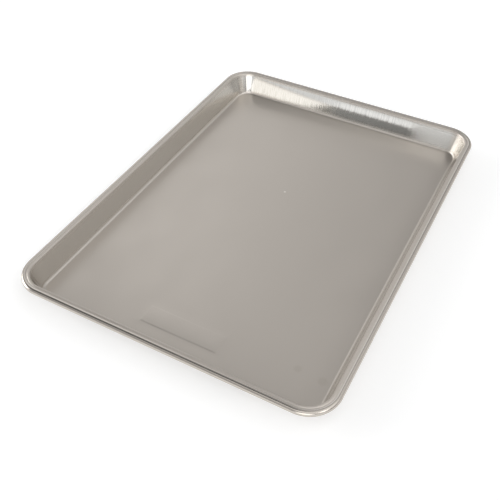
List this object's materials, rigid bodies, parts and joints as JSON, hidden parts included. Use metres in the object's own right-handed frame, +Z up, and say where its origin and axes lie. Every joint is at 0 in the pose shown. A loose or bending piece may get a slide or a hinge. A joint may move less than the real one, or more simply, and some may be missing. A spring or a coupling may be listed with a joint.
{
  "type": "half sheet pan",
  "caption": "Shallow rectangular baking tray of natural aluminium with leaning walls, round corners and a rolled rim closed round a steel wire.",
  "frame": {"origin": "middle of the flat underside, on the surface that the pan stands on", "axes": "+Z up out of the open top; +Y along the long sides, away from the end with the plain stamped panel; +X to the right"},
  "size_m": [0.33, 0.455, 0.0267],
  "materials": {
    "pan_aluminium": "natural, satin from rolling and drawing",
    "wire_steel": "galvanised, dull"
  },
  "bodies": {
    "root": {"pan_shell": "pan_aluminium", "rim_wire": "wire_steel"}
  },
  "joints": []
}
